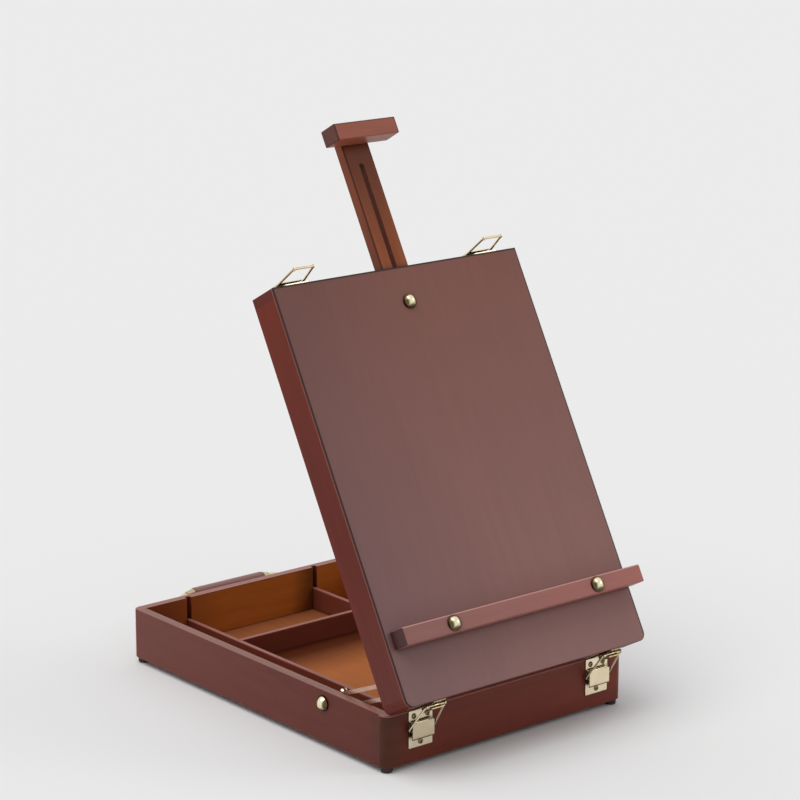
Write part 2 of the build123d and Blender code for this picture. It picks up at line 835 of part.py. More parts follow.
def catch(seam):
    """A J-shaped catch: a screwed plate with a lip that holds the loop's bar."""
    with BuildSketch(seam) as profile:
        with Locations((0, (catch_start + catch_end) / 2)):
            RectangleRounded(catch_width, catch_end - catch_start, plate_corner)
    extrude(profile.sketch, amount=sheet)
    section = Plane(origin=seam.origin, x_dir=seam.y_dir, z_dir=seam.x_dir)
    lip_outer = sheet + hook_gap + hook_sheet
    with BuildSketch(section) as profile:
        Polygon(
            (hook_start, sheet / 2),
            (hook_start, lip_outer),
            (hook_end, lip_outer),
            (hook_end, lip_outer - hook_sheet),
            (hook_start + sheet, lip_outer - hook_sheet),
            (hook_start + sheet, sheet / 2),
            align=None,
        )
    extrude(profile.sketch, amount=catch_width / 2, both=True)
    for seat in catch_screw_seats(seam):
        drill(seat, screw_shank_radius + fit_gap, sheet)


front_latch = ("front", front_seams, latch_plate_far, latch_screw_far, front_loop_lean)
lid_latch = ("lid", lid_back_seams, lid_latch_plate_far, lid_latch_screw_far, 180 - lid_loop_lift)
for place, seams, plate_far, screw_far, lean in (front_latch, lid_latch):
    for name, seam in zip(("left", "right"), seams):
        with BuildPart() as base:
            latch_base(seam, plate_far, screw_far)
        finish(base, name + "_" + place + "_latch_base")
        with BuildPart() as lever:
            latch_lever(seam)
        finish(lever, name + "_" + place + "_lever")
        with BuildPart() as loop:
            latch_loop(seam, lean)
        finish(loop, name + "_" + place + "_loop")

for label, seams in (("front_latch_pins", front_seams), ("lid_latch_pins", lid_back_seams)):
    with BuildPart() as pins:
        for seam in seams:
            latch_pin(seam)
    finish(pins, label)

for label, seams in (("back_catches", back_seams), ("lid_catches", lid_front_seams)):
    with BuildPart() as catches:
        for seam in seams:
            catch(seam)
    finish(catches, label)

for label, seats in (
    ("front_latch_screws", front_latch_screws_at),
    ("lid_latch_screws", lid_latch_screws_at),
    ("back_catch_screws", back_catch_screws_at),
    ("lid_catch_screws", lid_catch_screws_at),
    ("handle_screws", handle_screws_at),
):
    with BuildPart() as screws:
        for seat in seats:
            screw(seat)
    finish(screws, label)

# ---- carrying handle ---------------------------------------------------------------
handle_pivot_y = back_y + handle_pivot_out
handle_bar_y = back_y + handle_reach
stub_end = bracket_x - bracket_tube_length / 2

with BuildPart() as handle_brackets:
    for side in (-1, 1):
        with BuildSketch(Plane(origin=(side * bracket_x, back_y, handle_z), x_dir=(1, 0, 0), z_dir=(0, 1, 0))):
            RectangleRounded(bracket_width, bracket_height, bracket_corner)
        extrude(amount=bracket_sheet)
        tube_plane = Plane(
            origin=(side * bracket_x - bracket_tube_length / 2, handle_pivot_y, handle_z),
            x_dir=(0, 1, 0),
            z_dir=(1, 0, 0),
        )
        with BuildSketch(tube_plane):
            Circle(bracket_tube_radius)
            with Locations((-handle_pivot_out / 2, 0)):
                Rectangle(handle_pivot_out, bracket_neck_height)
        extrude(amount=bracket_tube_length)
        with BuildSketch(tube_plane):
            Circle(handle_rod_radius + running_gap)
        extrude(amount=bracket_tube_length, mode=Mode.SUBTRACT)
    for seat in handle_screws_at:
        drill(seat, screw_shank_radius + fit_gap, bracket_sheet)
finish(handle_brackets, "handle_brackets")

with BuildPart() as handle_bail:
    bail_plane = Plane(origin=(0, handle_pivot_y, handle_z), x_dir=(1, 0, 0), z_dir=(0, 0, 1))
    bar_out = handle_bar_y - handle_pivot_y
    with BuildLine(bail_plane) as rod:
        FilletPolyline(
            (-stub_end, 0),
            (-handle_half_span, 0),
            (-handle_half_span, bar_out),
            (handle_half_span, bar_out),
            (handle_half_span, 0),
            (stub_end, 0),
            radius=[handle_stub_radius, handle_corner, handle_corner, handle_stub_radius],
        )
    with BuildSketch(Plane(origin=rod.line @ 0, z_dir=rod.line % 0)):
        Circle(handle_rod_radius)
    sweep(path=rod.line)
finish(handle_bail, "handle_bail")

with BuildPart() as handle_grip:
    with BuildSketch(Plane(origin=(-grip_length / 2, handle_bar_y, handle_z), x_dir=(0, 1, 0), z_dir=(1, 0, 0))):
        Circle(grip_radius)
    extrude(amount=grip_length)
    fillet(handle_grip.edges(), grip_edge_radius)
    with BuildSketch(Plane(origin=(-grip_length / 2, handle_bar_y, handle_z), x_dir=(0, 1, 0), z_dir=(1, 0, 0))):
        Circle(handle_rod_radius + fit_gap)
    extrude(amount=grip_length, mode=Mode.SUBTRACT)
finish(handle_grip, "handle_grip")

with BuildPart() as handle_ferrules:
    for side in (-1, 1):
        start = Plane(
            origin=(side * (grip_length / 2 + fit_gap), handle_bar_y, handle_z),
            x_dir=(0, 1, 0),
            z_dir=(side, 0, 0),
        )
        with BuildSketch(profile_plane(start)) as profile:
            Polygon(
                (handle_rod_radius + fit_gap, 0),
                (ferrule_radius, 0),
                (ferrule_end_radius, ferrule_length),
                (handle_rod_radius + fit_gap, ferrule_length),
                align=None,
            )
        revolve(profile.sketch, axis=Axis(start.origin, start.z_dir))
finish(handle_ferrules, "handle_ferrules")
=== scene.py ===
from collections import namedtuple
from math import cos, pi, radians, sin

import bmesh
import bpy
from mathutils import Matrix, Vector


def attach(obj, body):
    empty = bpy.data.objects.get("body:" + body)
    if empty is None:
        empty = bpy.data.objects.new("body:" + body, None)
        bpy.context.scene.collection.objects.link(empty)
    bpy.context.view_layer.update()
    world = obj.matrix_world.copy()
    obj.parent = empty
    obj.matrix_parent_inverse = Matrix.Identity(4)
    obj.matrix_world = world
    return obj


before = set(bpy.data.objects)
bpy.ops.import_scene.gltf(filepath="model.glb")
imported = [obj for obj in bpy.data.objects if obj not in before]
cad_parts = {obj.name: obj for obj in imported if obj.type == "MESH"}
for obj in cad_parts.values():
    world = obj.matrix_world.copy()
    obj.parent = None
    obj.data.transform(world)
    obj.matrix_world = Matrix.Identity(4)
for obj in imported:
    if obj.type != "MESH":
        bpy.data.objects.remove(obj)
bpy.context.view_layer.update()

# A pochade box. Every CAD node keeps its shape and gets a procedural material: stained wood,
# plated brass, rubber or leather. The barrels on the latch loops are the only pieces added.

# ---- the object's own frame, in metres -----------------------------------------------
MM = 0.001
X_AXIS, Y_AXIS, Z_AXIS = (1, 0, 0), (0, 1, 0), (0, 0, 1)
LEFTWARD, DOWNWARD = (-1, 0, 0), (0, 0, -1)

BOX_WIDTH = 270 * MM
BOX_DEPTH = 366 * MM
RIGHT_X, LEFT_X = BOX_WIDTH / 2, -BOX_WIDTH / 2
BACK_Y, FRONT_Y = BOX_DEPTH / 2, -BOX_DEPTH / 2
WALL = 9 * MM
RIM_Z = 51.5 * MM
LATCH_LEFT_X, LATCH_RIGHT_X = -98 * MM, 103 * MM

# The lid as it stands at rest: the way its board looks, the way up its slope, and how far out
# its open rim lies. Its pieces are shaded in axes turned back by its angle, so there X is
# across, Y up the slope and Z out.
LID_ANGLE = radians(61.0)
LID_GAP = 0.15 * MM
LID_OUT = Vector((0, -sin(LID_ANGLE), cos(LID_ANGLE)))
LID_UP = Vector((0, cos(LID_ANGLE), sin(LID_ANGLE)))
LID_RIM = Vector((0, FRONT_Y, RIM_Z + LID_GAP)).dot(LID_OUT)


def far_end(node, direction):
    """How far a CAD node reaches along a direction."""
    direction = Vector(direction)
    return max(vertex.co.dot(direction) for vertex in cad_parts[node].data.vertices)


BOARD_TOP = far_end("lid_board", LID_UP)
BOARD_FOOT = BOARD_TOP - BOX_DEPTH

# ---- the camera ----------------------------------------------------------------------
CAMERA_AZIMUTH = radians(39.7314)
CAMERA_ELEVATION = radians(14.3582)
CAMERA_ROLL = radians(0.1321)
CAMERA_DISTANCE = 2533.94 * MM
CAMERA_TARGET = Vector((31.658, 0, 257.61)) * MM
FRAME_PIXELS = 800
FOCAL_PIXELS = 2853.5
SENSOR_MM = 36.0
CLIP_START, CLIP_END = 0.05, 50


def make_camera():
    forward = Vector((
        sin(CAMERA_AZIMUTH) * cos(CAMERA_ELEVATION),
        cos(CAMERA_AZIMUTH) * cos(CAMERA_ELEVATION),
        -sin(CAMERA_ELEVATION),
    ))
    right = forward.cross(Vector(Z_AXIS)).normalized()
    up = right.cross(forward)
    rolled_right = right * cos(CAMERA_ROLL) + up * sin(CAMERA_ROLL)
    rolled_up = up * cos(CAMERA_ROLL) - right * sin(CAMERA_ROLL)
    data = bpy.data.cameras.new("camera")
    data.sensor_width = SENSOR_MM
    data.sensor_fit = "HORIZONTAL"
    data.lens = FOCAL_PIXELS / FRAME_PIXELS * SENSOR_MM
    data.clip_start = CLIP_START
    data.clip_end = CLIP_END
    camera = bpy.data.objects.new("camera", data)
    turn = Matrix((rolled_right, rolled_up, -forward)).transposed().to_4x4()
    camera.matrix_world = Matrix.Translation(CAMERA_TARGET - forward * CAMERA_DISTANCE) @ turn
    bpy.context.scene.collection.objects.link(camera)
    bpy.context.scene.camera = camera


# ---- small helpers for node materials ------------------------------------------------
EDGE_SAMPLES = 4
EDGE_COSINES = (0.80, 0.995)  # bevelled against true normal: fully on an edge, off it
CREVICE_SAMPLES = 6
CREVICE_OPENNESS = (0.25, 0.85)  # open share of what a point sees: fully dark, untouched
LINE_COVER = 0.9
LINE_RAMP = 0.6 * MM

# Faces that can have a tone of their own: a way to look, whether the opposite way is as good,
# and the cosines at which a face begins to count and counts fully. Where the cosines fall, the
# faces are those that look across that way.
FACING = {
    "ends": (X_AXIS, True, 0.45, 0.80),
    "tops": (Z_AXIS, False, 0.70, 0.95),
    "board edges": (LID_OUT, True, 0.75, 0.35),
}

# A tone that comes in along a direction: none of it at start, all of it at end.
Band = namedtuple("Band", "direction start end tone")


def srgb(red, green, blue):
    """A colour given as it looks on screen, 0 to 255, turned into linear light."""
    out = []
    for value in (red, green, blue):
        value /= 255
        out.append(value / 12.92 if value <= 0.04045 else ((value + 0.055) / 1.055) ** 2.4)
    return (*out, 1.0)


def shade(colour, level):
    """The same colour, lighter or darker."""
    return (*(min(1.0, value * level) for value in colour[:3]), 1.0)


def edge_line(direction, far, width, colour):
    """A thin line of another colour along the edge that lies far off in a direction."""
    return Band(direction, far - width, far - width + LINE_RAMP, colour)


class Nodes:
    """A short way to write a node tree."""

    def __init__(self, owner, shader="Principled BSDF"):
        owner.use_nodes = True
        self.owner = owner
        self.tree = owner.node_tree
        self.shader = self.tree.nodes[shader]

    def add(self, kind, **values):
        """A new node, with each value given to its attribute or input of that name."""
        node = self.tree.nodes.new("ShaderNode" + kind)
        for key, value in values.items():
            if hasattr(node, key):
                setattr(node, key, value)
            else:
                node.inputs[key.replace("_", " ")].default_value = value
        return node

    def link(self, source, target):
        self.tree.links.new(source, target)

    def set(self, name, value):
        """A value on the shader's own socket."""
        self.shader.inputs[name].default_value = value

    def drive(self, name, source):
        """A node's output into the shader's own socket."""
        self.link(source, self.shader.inputs[name])

    def feed(self, sockets, values):
        """Values, or other nodes' outputs, into the sockets in their order."""
        for socket, value in zip(sockets, values):
            if isinstance(value, bpy.types.NodeSocket):
                self.link(value, socket)
            else:
                socket.default_value = value

    def coordinates(self, scale=(1, 1, 1), tilt=0.0):
        """Object coordinates turned back by the tilt about X, then scaled."""
        place = self.add("TexCoord")
        turn = self.add("Mapping", vector_type="POINT", Rotation=(-tilt, 0, 0))
        size = self.add("Mapping", vector_type="POINT", Scale=scale)
        self.link(place.outputs["Object"], turn.inputs["Vector"])
        self.link(turn.outputs["Vector"], size.inputs["Vector"])
        return size.outputs["Vector"]

    def own_normal(self):
        """The surface's normal on the piece itself, so that it turns with the piece."""
        return self.add("TexCoord").outputs["Normal"]

    def split(self, vector):
        node = self.add("SeparateXYZ")
        self.link(vector, node.inputs[0])
        return node.outputs

    def noise(self, vector, scale, detail, roughness=0.5, distortion=0.0):
        node = self.add(
            "TexNoise", Scale=scale, Detail=detail, Roughness=roughness, Distortion=distortion,
        )
        self.link(vector, node.inputs["Vector"])
        return node.outputs["Fac"]

    def ramp(self, factor, *stops):
        node = self.add("ValToRGB")
        elements = node.color_ramp.elements
        while len(elements) < len(stops):
            elements.new(0.5)
        for element, (place, colour) in zip(elements, stops):
            element.position = place
            element.color = colour
        self.link(factor, node.inputs["Fac"])
        return node.outputs["Color"]

    def grey(self, factor, low, high, start=0.0, end=1.0):
        """From low to high while the factor goes from start to end."""
        node = self.add("MapRange", From_Min=start, From_Max=end, To_Min=low, To_Max=high)
        self.link(factor, node.inputs["Value"])
        return node.outputs["Result"]

    def mix(self, factor, first, second, blend="MIX"):
        node = self.add("Mix", data_type="RGBA", blend_type=blend)
        self.feed((node.inputs[0], node.inputs[6], node.inputs[7]), (factor, first, second))
        return node.outputs[2]

    def math(self, operation, first, second=0.0):
        node = self.add("Math", operation=operation)
        self.feed(node.inputs, (first, second))
        return node.outputs[0]

    def dot(self, first, second):
        node = self.add("VectorMath", operation="DOT_PRODUCT")
        self.feed(node.inputs, (first, second))
        return node.outputs["Value"]

    def bump(self, height, strength, distance):
        node = self.add("Bump", Strength=strength, Distance=distance)
        self.link(height, node.inputs["Height"])
        return node.outputs["Normal"]

    def band(self, place, band, most=1.0):
        """How much of a band's tone is there."""
        return self.grey(self.dot(place, band.direction), 0.0, most, band.start, band.end)

    def tint(self, shown, place, drift):
        """Multiply by a band's tone, which comes in slowly."""
        return self.mix(self.band(place, drift), shown, (*drift.tone, 1.0), "MULTIPLY")

    def border(self, shown, place, line):
        """Cover with a band's tone, which comes in within a thin line."""
        return self.mix(self.band(place, line, LINE_COVER), shown, line.tone)

    def sharp_edge_mask(self, radius):
        """White along sharp edges: where a bevelled normal leaves the true one."""
        bevel = self.add("Bevel", Radius=radius)
        bevel.samples = EDGE_SAMPLES
        true_normal = self.add("NewGeometry").outputs["Normal"]
        return self.grey(self.dot(bevel.outputs["Normal"], true_normal), 1.0, 0.0, *EDGE_COSINES)

    def crevices(self, distance):
        """White where other surfaces stand close: corners, slots and joints."""
        node = self.add("AmbientOcclusion", Distance=distance)
        node.samples = CREVICE_SAMPLES
        return self.grey(node.outputs["AO"], 1.0, 0.0, *CREVICE_OPENNESS)

    def facing(self, way):
        """White on the faces that look a given way."""
        direction, both_ways, start, end = FACING[way]
        lean = self.dot(self.own_normal(), direction)
        if both_ways:
            lean = self.math("ABSOLUTE", lean)
        return self.grey(lean, 0.0, 1.0, start, end)


# ---- wood ----------------------------------------------------------------------------
# Long noise along the grain's axis, and fine noise across it.
GRAIN_SCALE = {"x": (1, 14, 14), "y": (14, 1, 14)}
STREAK_TONE, STREAK_COVER = 0.75, 2.4  # the cover is for each unit of figure
MOTTLE_TONE, MOTTLE_COVER = 1.14, 0.45
# Painted shade in joints and corners: how dark it gets against the wood's colour.
JOINT_SHADE_TONE = 0.12
PORE_STRENGTH, PORE_DEPTH = 0.08, 0.08 * MM
EDGE_LIGHT_RADIUS = 0.7 * MM
# The inner tone takes in the inner faces with a little slack, and stops at the rim's round.
INNER_SLACK = 0.3 * MM
RIM_ROUND = 0.6 * MM
# Distances out from the lid's rim that board_edge's stops span. The board is 30 to 34 mm out.
BOARD_EDGE_BAND = (29 * MM, 35 * MM)

# Painted highlight along sharp edges, uneven like wear: how light the edges get (below 1 it is
# painted shade), and how much of that shows where the mottling is least and most.
EdgeLight = namedtuple("EdgeLight", "level least most")


def inside_box(n, place):
    """White on the walls' inner faces, below the rim."""
    x, y, z = n.split(place)
    within_x = n.math("LESS_THAN", n.math("ABSOLUTE", x), RIGHT_X - WALL + INNER_SLACK)
    within_y = n.math("LESS_THAN", n.math("ABSOLUTE", y), BACK_Y - WALL + INNER_SLACK)
    below = n.math("LESS_THAN", z, RIM_Z - RIM_ROUND)
    return n.math("MULTIPLY", n.math("MULTIPLY", within_x, within_y), below)


def stained_wood(
    name, colour, grain="x", tilt=0.0, roughness=0.36, figure=0.14, specular=0.25,
    crevice_shade=0.7, reach=4 * MM, edge_light=EdgeLight(1.6, 0.2, 0.5), drifts=(), borders=(), faces=(),
    inner=None, inner_drifts=(), board_edge=None,
):
    """Stained satin wood: soft grain along one axis, pores, mottling, painted light on worn edges
    and painted shade in joints.

    tilt is the angle that the piece's axes are turned by, and figure the strength of its grain.
    crevice_shade is how dark the painted shade in its joints is, and reach how far from them that
    shade spreads.
    drifts are slow changes of tone over the piece, and borders are thin lines along its edges.
    faces are other colours, given by the way that a face looks.
    inner is the colour of the walls inside the box, and inner_drifts its changes of tone.
    board_edge gives ramp stops across the thickness of the lid's board.
    """
    n = Nodes(bpy.data.materials.new(name))
    plain = n.coordinates()
    turned = n.coordinates(tilt=tilt)
    along = n.coordinates(GRAIN_SCALE[grain], tilt)
    rings = n.noise(along, scale=9.0, detail=6.0, roughness=0.62, distortion=0.6)
    streaks = n.noise(along, scale=46.0, detail=3.0, roughness=0.55, distortion=0.2)
    pores = n.noise(along, scale=160.0, detail=2.0)
    mottle = n.noise(plain, scale=7.0, detail=3.0)
    streaked = n.grey(streaks, 0.0, STREAK_COVER * figure, start=0.50, end=0.80)
    mottled = n.grey(mottle, 0.0, MOTTLE_COVER, start=0.40, end=0.75)

    def grained(tone):
        dark, light = shade(tone, 1 - figure), shade(tone, 1 + figure)
        out = n.ramp(rings, (0.30, dark), (0.50, tone), (0.72, light))
        out = n.mix(streaked, out, shade(tone, STREAK_TONE))
        return n.mix(mottled, out, shade(tone, MOTTLE_TONE))

    shown = grained(colour)
    for drift in drifts:
        shown = n.tint(shown, turned, drift)
    if inner is not None:
        inner_shown = grained(inner)
        for drift in inner_drifts:
            inner_shown = n.tint(inner_shown, plain, drift)
        shown = n.mix(inside_box(n, plain), shown, inner_shown)
    for line in borders:
        shown = n.border(shown, turned, line)
    for way, tone in faces:
        shown = n.mix(n.facing(way), shown, grained(tone))
    if board_edge is not None:
        height = n.math("SUBTRACT", n.split(turned)["Z"], LID_RIM)
        stripes = n.ramp(n.grey(height, 0.0, 1.0, *BOARD_EDGE_BAND), *board_edge)
        shown = n.mix(n.facing("board edges"), shown, stripes)
    # Painted highlight along sharp edges, uneven like wear; a level below 1 paints shade there.
    uneven = n.grey(mottle, edge_light.least, edge_light.most, start=0.3, end=0.7)
    lit_edges = n.math("MULTIPLY", n.sharp_edge_mask(EDGE_LIGHT_RADIUS), uneven)
    shown = n.mix(lit_edges, shown, shade(colour, edge_light.level))
    # Painted shade in joints, corners and slots, where other surfaces stand close.
    joints = n.math("MULTIPLY", n.crevices(reach), crevice_shade)
    shown = n.mix(joints, shown, shade(colour, JOINT_SHADE_TONE))
    n.drive("Base Color", shown)
    n.drive("Roughness", n.grey(pores, roughness - 0.05, roughness + 0.10))
    n.drive("Normal", n.bump(pores, PORE_STRENGTH, PORE_DEPTH))
    n.set("Specular IOR Level", specular)
    return n.owner


# ---- metal, rubber and grip ----------------------------------------------------------
# Painted dark: reflections on bolts' domes, and shade along the levers' lower edges.
BRASS_PAINTED_DARK = srgb(66, 46, 22)
# Painted shade where other pieces stand close to the metal.
BRASS_CREVICE_SHADE = srgb(34, 22, 10)
DARK_COVER = 0.92  # how fully either dark covers the metal
POLISH_STRENGTH, POLISH_DEPTH = 0.04, 0.04 * MM
# Distances below the top of a bolt's dome: its foot painted dark, and where the painted
# dark has faded out.
DOME_FOOT, DOME_CLEAR = 4.6 * MM, 4.0 * MM
# The bright stripe left between the painted dark flanks is a little off the dome's middle.
# Then cosines: no painted dark yet, fully dark.
STRIPE_SHIFT = 0.16
FLANK_COSINES = (0.28, 0.50)
UNDERSIDE_COSINES = (0.30, 0.62)

# A bolt's dome: its CAD node, the way it looks, the way to a flank, and the way to its underside.
Dome = namedtuple("Dome", "node axis flank down")


def dome_dark_reflection(n, place, dome):
    """Painted dark reflection on a bolt's flange, and on the flanks and the underside of its dome.
    """
    top = far_end(dome.node, dome.axis)
    normal = n.own_normal()
    flange = n.grey(n.dot(place, dome.axis), 1.0, 0.0, top - DOME_FOOT, top - DOME_CLEAR)
    off_stripe = n.math("ABSOLUTE", n.math("ADD", n.dot(normal, dome.flank), STRIPE_SHIFT))
    flanks = n.grey(off_stripe, 0.0, DARK_COVER, *FLANK_COSINES)
    underside = n.grey(n.dot(normal, dome.down), 0.0, DARK_COVER, *UNDERSIDE_COSINES)
    return n.math("MAXIMUM", flange, n.math("MAXIMUM", flanks, underside))


def plated_brass(name, colour, roughness=0.24, shadow=9 * MM, drift=None, hem=None, dome=None):
    """Pale plated metal: soft clouding, a fine polish, and painted shade where other pieces stand
    close.

    shadow is how far from other pieces the dark spreads, and drift a slow change of tone.
    hem gives the heights between which painted shade along a lower edge fades out.
    dome paints dark reflections on a bolt's domed head.
    """
    n = Nodes(bpy.data.materials.new(name))
    place = n.coordinates()
    cloud = n.noise(place, scale=90.0, detail=3.0)
    polish = n.noise(place, scale=900.0, detail=2.0)
    shown = n.ramp(cloud, (0.30, shade(colour, 0.93)), (0.70, shade(colour, 1.05)))
    if drift is not None:
        shown = n.tint(shown, place, drift)
    if hem is not None:
        # Painted shade along the lower edge.
        shown = n.mix(n.grey(n.split(place)["Z"], DARK_COVER, 0.0, *hem), shown, BRASS_PAINTED_DARK)
    if dome is not None:
        # Painted dark reflections on the dome's flange, flanks and underside.
        shown = n.mix(dome_dark_reflection(n, place, dome), shown, BRASS_PAINTED_DARK)
    # Painted shade where other pieces stand close.
    close = n.math("MULTIPLY", n.crevices(shadow), DARK_COVER)
    n.drive("Base Color", n.mix(close, shown, BRASS_CREVICE_SHADE))
    n.set("Metallic", 1.0)
    n.drive("Roughness", n.grey(polish, roughness - 0.05, roughness + 0.06))
    n.drive("Normal", n.bump(polish, POLISH_STRENGTH, POLISH_DEPTH))
    return n.owner


def dark_rubber(name):
    n = Nodes(bpy.data.materials.new(name))
    grain = n.noise(n.coordinates(), scale=700.0, detail=3.0, roughness=0.6)
    n.drive("Base Color", n.ramp(grain, (0.3, srgb(34, 20, 18)), (0.7, srgb(54, 34, 30))))
    n.set("Roughness", 0.7)
    n.drive("Normal", n.bump(grain, strength=0.2, distance=0.1 * MM))
    return n.owner


def leather_grip(name):
    """Grained leather, with a painted sheen on its top."""
    lit_way = (0, -0.30, 0.95)
    n = Nodes(bpy.data.materials.new(name))
    grain = n.noise(n.coordinates(), scale=420.0, detail=5.0, roughness=0.65, distortion=0.3)
    leather = n.ramp(grain, (0.3, srgb(64, 24, 18)), (0.7, srgb(104, 46, 38)))
    # Painted sheen: paler on faces that look up and a little to the front.
    lit_top = n.grey(n.dot(n.own_normal(), lit_way), 0.0, 0.8, start=0.66, end=0.98)
    n.drive("Base Color", n.mix(lit_top, leather, srgb(150, 106, 100)))
    n.set("Roughness", 0.42)
    n.drive("Normal", n.bump(grain, strength=0.35, distance=0.2 * MM))
    return n.owner


# ---- the box's wood ------------------------------------------------------------------
WALL_WOOD = srgb(112, 50, 37)
INNER_WOOD = srgb(174, 98, 38)
# Painted light: the tops of the walls and dividers get these paler tones for the sheen on them.
LIT_RIM_WOOD = srgb(150, 98, 88)
LIT_SIDE_RIM_WOOD = srgb(136, 89, 77)
DIVIDER_WOOD = srgb(116, 58, 44)
RAIL_WOOD = srgb(94, 32, 22)
BOARD_EDGE = srgb(22, 9, 7)
DARK_LINE = srgb(44, 16, 10)

# Its top takes the paler rim tone as painted light.
back_wood = stained_wood(
    "walnut_across", WALL_WOOD, specular=0.18, faces=(("tops", LIT_RIM_WOOD),), inner=INNER_WOOD,
    inner_drifts=(
        # Darker and duller to the left.
        Band(X_AXIS, -35 * MM, -110 * MM, (0.55, 0.50, 1.0)),
        # A shadow beside the short divider, taken back behind it.
        Band(X_AXIS, 42 * MM, 64 * MM, (0.35, 0.40, 0.50)),
        Band(X_AXIS, 70 * MM, 74 * MM, (2.86, 2.50, 2.00)),
    ),
)
# Its edges take a strong painted highlight, and its top the paler rim tone as painted light.
front_wood = stained_wood(
    "walnut_front", WALL_WOOD, specular=0.18, crevice_shade=0.35, edge_light=EdgeLight(2.4, 0.6, 0.95),
    faces=(("tops", LIT_RIM_WOOD),), inner=INNER_WOOD,
    drifts=(
        # Darker and warmer to the left, then painted shade towards the rounded left corner.
        Band(X_AXIS, RIGHT_X, LEFT_X, (0.755, 0.665, 0.49)),
        Band(X_AXIS, -105 * MM, -133 * MM, (0.52, 0.85, 1.0)),
    ),
    # Painted light: a pale line of the rim tone along the top edge.
    borders=(edge_line(Z_AXIS, RIM_Z, 1.6 * MM, LIT_RIM_WOOD),),
)
# Its top takes the paler rim tone as painted light.
side_wood = stained_wood(
    "walnut_deep", srgb(106, 52, 44), grain="y", faces=(("tops", LIT_SIDE_RIM_WOOD),),
    inner=INNER_WOOD,
    drifts=(
        # Redder to the front, then painted shade towards the rounded front corner.
        Band(Y_AXIS, BACK_Y, FRONT_Y, (0.757, 0.49, 0.36)),
        Band(Y_AXIS, -160 * MM, -181 * MM, (0.68, 0.86, 0.95)),
    ),
)
# The dividers' tops take the paler rim tone as painted light.
cross_divider_wood = stained_wood(
    "divider_across", DIVIDER_WOOD, specular=0.15, faces=(("tops", LIT_RIM_WOOD),),
)
deep_divider_wood = stained_wood(
    "divider_deep", DIVIDER_WOOD, grain="y", specular=0.15, faces=(("tops", LIT_RIM_WOOD),),
)
plywood = stained_wood(
    "plywood_floor", srgb(178, 102, 50), grain="y", roughness=0.60, figure=0.08, specular=0.12,
    drifts=(
        # A shadow in front of the cross divider, taken back under it.
        Band(Y_AXIS, 22 * MM, 78 * MM, (0.20, 0.13, 0.09)),
        Band(Y_AXIS, 95 * MM, 99 * MM, (3.3, 5.6, 12.0)),
    ),
)

# ---- the lid's wood ------------------------------------------------------------------
cross_rail_wood = stained_wood("walnut_rail_across", RAIL_WOOD, tilt=LID_ANGLE, specular=0.15)
side_rail_wood = stained_wood(
    "walnut_rail_up", srgb(96, 44, 38), grain="y", tilt=LID_ANGLE, specular=0.15,
    drifts=(
        # Redder up from its foot, then a little lighter up to its top.
        Band(Y_AXIS, BOARD_FOOT, BOARD_TOP - 250 * MM, (1.0, 0.56, 0.34)),
        Band(Y_AXIS, BOARD_TOP - 170 * MM, BOARD_TOP, (1.22, 1.15, 0.65)),
    ),
)
board_wood = stained_wood(
    "walnut_board", srgb(134, 96, 92), grain="y", tilt=LID_ANGLE, roughness=0.40, figure=0.04,
    drifts=(
        # Painted reflection: paler and greyer at the foot, darker and browner up the slope; and
        # darker to the left.
        Band(Y_AXIS, BOARD_FOOT, BOARD_TOP, (0.775, 0.553, 0.45)),
        Band(X_AXIS, 0.0, LEFT_X, (0.775, 0.82, 0.90)),
    ),
    borders=(
        edge_line(Y_AXIS, BOARD_TOP, 2.0 * MM, BOARD_EDGE),
        edge_line(X_AXIS, RIGHT_X, 2.0 * MM, BOARD_EDGE),
    ),
    board_edge=(
        # The rail's wood, a pale glint, the rail again, and the board's dark edge.
        (0.16, RAIL_WOOD), (0.19, srgb(150, 96, 84)), (0.24, srgb(140, 84, 72)),
        (0.28, RAIL_WOOD), (0.44, shade(RAIL_WOOD, 0.7)), (0.52, BOARD_EDGE), (1.0, BOARD_EDGE),
    ),
)
# Its edges take a strong painted highlight.
ledge_wood = stained_wood(
    "red_ledge", srgb(156, 94, 86), tilt=LID_ANGLE, figure=0.10, edge_light=EdgeLight(1.9, 0.45, 0.8),
    faces=(("ends", srgb(66, 36, 34)),),
    drifts=(Band(X_AXIS, RIGHT_X, LEFT_X, (0.72, 0.88, 0.92)),),
    # A painted highlight along the top edge.
    borders=(edge_line(Y_AXIS, far_end("ledge", LID_UP), 1.4 * MM, srgb(186, 138, 132)),),
)
# Its edges take painted shade, and strong painted shade lies in its slot and joints.
mast_wood = stained_wood(
    "mast_wood", srgb(138, 70, 34), grain="y", tilt=LID_ANGLE, specular=0.15, figure=0.2,
    crevice_shade=0.95, reach=6 * MM, edge_light=EdgeLight(0.15, 0.6, 0.95), faces=(("ends", srgb(119, 60, 37)),),
    drifts=(Band(Y_AXIS, BOARD_TOP + 5 * MM, BOARD_TOP + 85 * MM, (0.535, 0.48, 0.57)),),
    borders=(
        edge_line(LEFTWARD, far_end("mast_bar", LEFTWARD), 2.1 * MM, DARK_LINE),
        edge_line(X_AXIS, far_end("mast_bar", X_AXIS), 1.3 * MM, DARK_LINE),
    ),
)
# Its edges take painted shade.
block_wood = stained_wood(
    "mast_block_wood", srgb(142, 76, 58), tilt=LID_ANGLE, figure=0.2, edge_light=EdgeLight(0.3, 0.5, 0.9),
    faces=(("ends", srgb(92, 48, 42)),),
    borders=(
        edge_line(LEFTWARD, far_end("mast_block", LEFTWARD), 1.9 * MM, DARK_LINE),
        edge_line(X_AXIS, far_end("mast_block", X_AXIS), 1.7 * MM, DARK_LINE),
        edge_line(Y_AXIS, far_end("mast_block", LID_UP), 1.5 * MM, srgb(84, 44, 34)),
    ),
)

